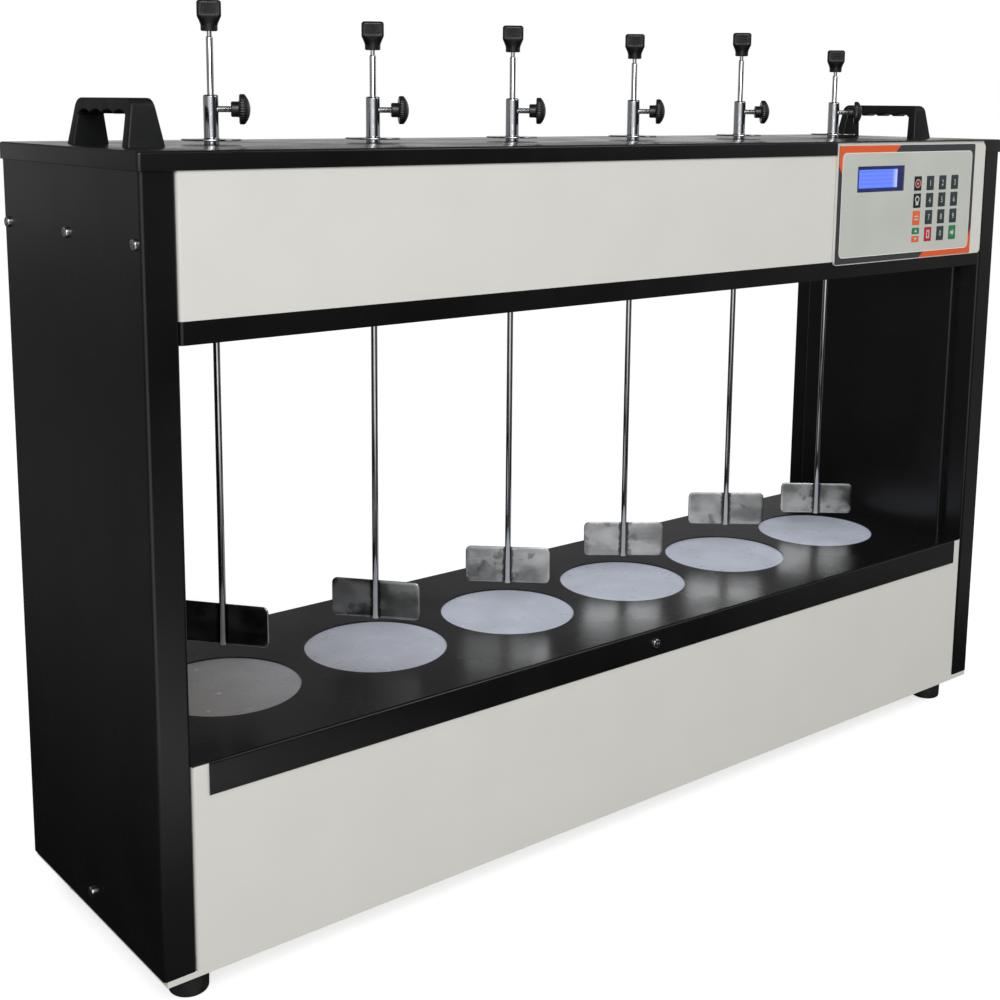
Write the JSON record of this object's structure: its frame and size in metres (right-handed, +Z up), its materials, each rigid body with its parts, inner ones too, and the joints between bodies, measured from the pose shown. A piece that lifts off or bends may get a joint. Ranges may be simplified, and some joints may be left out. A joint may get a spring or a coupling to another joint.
{
  "type": "jar tester",
  "caption": "Bench jar tester: black cabinet with an open bay, frosted shelf windows, a belt-driven head, height-adjustable paddle stirrers with clamp screws, and a keypad panel.",
  "frame": {"origin": "on the table, under the middle of the cabinet", "axes": "+X to the right along the cabinet, seen from the front where the keypad is; +Y to the back; +Z up"},
  "size_m": [1.0052, 0.2576, 0.744],
  "materials": {
    "black_powder_coat": "satin powder coat",
    "white_powder_coat": "satin powder coat",
    "foot_rubber": "moulded rubber",
    "belt_rubber": "moulded rubber",
    "frosted_acrylic": "frosted",
    "led_strip": "satin",
    "handle_plastic": "moulded, fine grain",
    "zinc_screw": "bright zinc plate",
    "printed_film": "printed polyester film",
    "display_face": "lit liquid-crystal window",
    "key_ink": "printed key",
    "circuit_board": "solder mask",
    "zinc_sheet": "zinc-plated sheet",
    "motor_black": "black paint",
    "steel_rotor": "turned steel",
    "aluminium_pulley": "turned",
    "cast_bearing": "cast, machined bore",
    "inlet_plastic": "moulded",
    "rocker_red": "moulded",
    "chrome_plate": "bright chrome plate",
    "knob_plastic": "moulded",
    "stainless_rod": "ground rod, braze-stained paddle"
  },
  "bodies": {
    "cabinet": {"base_pan": "white_powder_coat", "rubber_feet": "foot_rubber", "left_column": "black_powder_coat", "right_column": "black_powder_coat", "left_inner_panel": "black_powder_coat", "right_inner_panel": "black_powder_coat", "lower_rear_panel": "white_powder_coat", "jar_shelf": "black_powder_coat", "window_diffuser": "frosted_acrylic", "lamp_strips": "led_strip", "head_tray": "black_powder_coat", "upper_front_panel": "white_powder_coat", "upper_rear_panel": "white_powder_coat", "top_lid": "black_powder_coat", "left_handle": "handle_plastic", "right_handle": "handle_plastic", "cabinet_screws": "zinc_screw", "control_housing": "white_powder_coat", "fascia_film": "printed_film", "display": "display_face", "keypad": "key_ink", "control_board": "circuit_board", "power_supply": "zinc_sheet", "drive_motor": "motor_black", "drive_belts": "belt_rubber", "bearing_units": "cast_bearing", "bearing_plate": "zinc_sheet", "mains_inlet": "inlet_plastic"},
    "motor_rotor": {"motor_pulley": "steel_rotor"},
    "mains_rocker": {"switch_rocker": "rocker_red"},
    "spindle_set_1": {"spindle_1": "chrome_plate", "pulley_1": "aluminium_pulley"},
    "clamp_set_1": {"clamp_screw_1": "knob_plastic"},
    "stirrer_set_1": {"stirrer_1": "stainless_rod", "knob_1": "knob_plastic"},
    "spindle_set_2": {"spindle_2": "chrome_plate", "pulley_2": "aluminium_pulley"},
    "clamp_set_2": {"clamp_screw_2": "knob_plastic"},
    "stirrer_set_2": {"stirrer_2": "stainless_rod", "knob_2": "knob_plastic"},
    "spindle_set_3": {"spindle_3": "chrome_plate", "pulley_3": "aluminium_pulley"},
    "clamp_set_3": {"clamp_screw_3": "knob_plastic"},
    "stirrer_set_3": {"stirrer_3": "stainless_rod", "knob_3": "knob_plastic"},
    "spindle_set_4": {"spindle_4": "chrome_plate", "pulley_4": "aluminium_pulley"},
    "clamp_set_4": {"clamp_screw_4": "knob_plastic"},
    "stirrer_set_4": {"stirrer_4": "stainless_rod", "knob_4": "knob_plastic"},
    "spindle_set_5": {"spindle_5": "chrome_plate", "pulley_5": "aluminium_pulley"},
    "clamp_set_5": {"clamp_screw_5": "knob_plastic"},
    "stirrer_set_5": {"stirrer_5": "stainless_rod", "knob_5": "knob_plastic"},
    "spindle_set_6": {"spindle_6": "chrome_plate", "pulley_6": "aluminium_pulley"},
    "clamp_set_6": {"clamp_screw_6": "knob_plastic"},
    "stirrer_set_6": {"stirrer_6": "stainless_rod", "knob_6": "knob_plastic"}
  },
  "joints": [
    {"name": "spindle_1_spin", "type": "hinge", "parent": "cabinet", "child": "spindle_set_1", "pos_m": [-0.382, -0.0035, 0.55], "axis": [0, 0, 1], "continuous": true},
    {"name": "spindle_2_spin", "type": "hinge", "parent": "cabinet", "child": "spindle_set_2", "pos_m": [-0.232, -0.0035, 0.55], "axis": [0, 0, 1], "continuous": true},
    {"name": "spindle_3_spin", "type": "hinge", "parent": "cabinet", "child": "spindle_set_3", "pos_m": [-0.082, -0.0035, 0.55], "axis": [0, 0, 1], "continuous": true},
    {"name": "spindle_4_spin", "type": "hinge", "parent": "cabinet", "child": "spindle_set_4", "pos_m": [0.068, -0.0035, 0.55], "axis": [0, 0, 1], "continuous": true},
    {"name": "spindle_5_spin", "type": "hinge", "parent": "cabinet", "child": "spindle_set_5", "pos_m": [0.218, -0.0035, 0.55], "axis": [0, 0, 1], "continuous": true},
    {"name": "spindle_6_spin", "type": "hinge", "parent": "cabinet", "child": "spindle_set_6", "pos_m": [0.368, -0.0035, 0.55], "axis": [0, 0, 1], "continuous": true},
    {"name": "motor_spin", "type": "hinge", "parent": "cabinet", "child": "motor_rotor", "pos_m": [-0.307, 0.073, 0.54], "axis": [0, 0, 1], "continuous": true},
    {"name": "stirrer_1_height", "type": "slide", "parent": "spindle_set_1", "child": "stirrer_set_1", "axis": [0, 0, 1], "range_m": [-0.0325, 0.235]},
    {"name": "stirrer_2_height", "type": "slide", "parent": "spindle_set_2", "child": "stirrer_set_2", "axis": [0, 0, 1], "range_m": [-0.0225, 0.245]},
    {"name": "stirrer_3_height", "type": "slide", "parent": "spindle_set_3", "child": "stirrer_set_3", "axis": [0, 0, 1], "range_m": [-0.025, 0.2425]},
    {"name": "stirrer_4_height", "type": "slide", "parent": "spindle_set_4", "child": "stirrer_set_4", "axis": [0, 0, 1], "range_m": [-0.023, 0.2445]},
    {"name": "stirrer_5_height", "type": "slide", "parent": "spindle_set_5", "child": "stirrer_set_5", "axis": [0, 0, 1], "range_m": [-0.0295, 0.238]},
    {"name": "stirrer_6_height", "type": "slide", "parent": "spindle_set_6", "child": "stirrer_set_6", "axis": [0, 0, 1], "range_m": [-0.0165, 0.251]},
    {"name": "clamp_1_turn", "type": "hinge", "parent": "spindle_set_1", "child": "clamp_set_1", "pos_m": [-0.382, -0.0035, 0.662], "axis": [0.891, -0.454, 0], "range_deg": [0, 360]},
    {"name": "clamp_2_turn", "type": "hinge", "parent": "spindle_set_2", "child": "clamp_set_2", "pos_m": [-0.232, -0.0035, 0.662], "axis": [0.8746, -0.4848, 0], "range_deg": [0, 360]},
    {"name": "clamp_3_turn", "type": "hinge", "parent": "spindle_set_3", "child": "clamp_set_3", "pos_m": [-0.082, -0.0035, 0.662], "axis": [0.7771, -0.6293, 0], "range_deg": [0, 360]},
    {"name": "clamp_4_turn", "type": "hinge", "parent": "spindle_set_4", "child": "clamp_set_4", "pos_m": [0.068, -0.0035, 0.662], "axis": [0.7254, -0.6884, 0], "range_deg": [0, 360]},
    {"name": "clamp_5_turn", "type": "hinge", "parent": "spindle_set_5", "child": "clamp_set_5", "pos_m": [0.218, -0.0035, 0.662], "axis": [0.766, -0.6428, 0], "range_deg": [0, 360]},
    {"name": "clamp_6_turn", "type": "hinge", "parent": "spindle_set_6", "child": "clamp_set_6", "pos_m": [0.368, -0.0035, 0.662], "axis": [0.6293, -0.7771, 0], "range_deg": [0, 360]},
    {"name": "mains_rocker_tilt", "type": "hinge", "parent": "cabinet", "child": "mains_rocker", "pos_m": [0.403, 0.1218, 0.584], "axis": [1, 0, 0], "range_deg": [0, 18]}
  ],
  "couplings": [
    {"joint": "spindle_1_spin", "follows": "motor_spin", "ratio": 0.5},
    {"joint": "spindle_2_spin", "follows": "motor_spin", "ratio": 0.5},
    {"joint": "spindle_3_spin", "follows": "motor_spin", "ratio": 0.5},
    {"joint": "spindle_4_spin", "follows": "motor_spin", "ratio": 0.5},
    {"joint": "spindle_5_spin", "follows": "motor_spin", "ratio": 0.5},
    {"joint": "spindle_6_spin", "follows": "motor_spin", "ratio": 0.5}
  ]
}
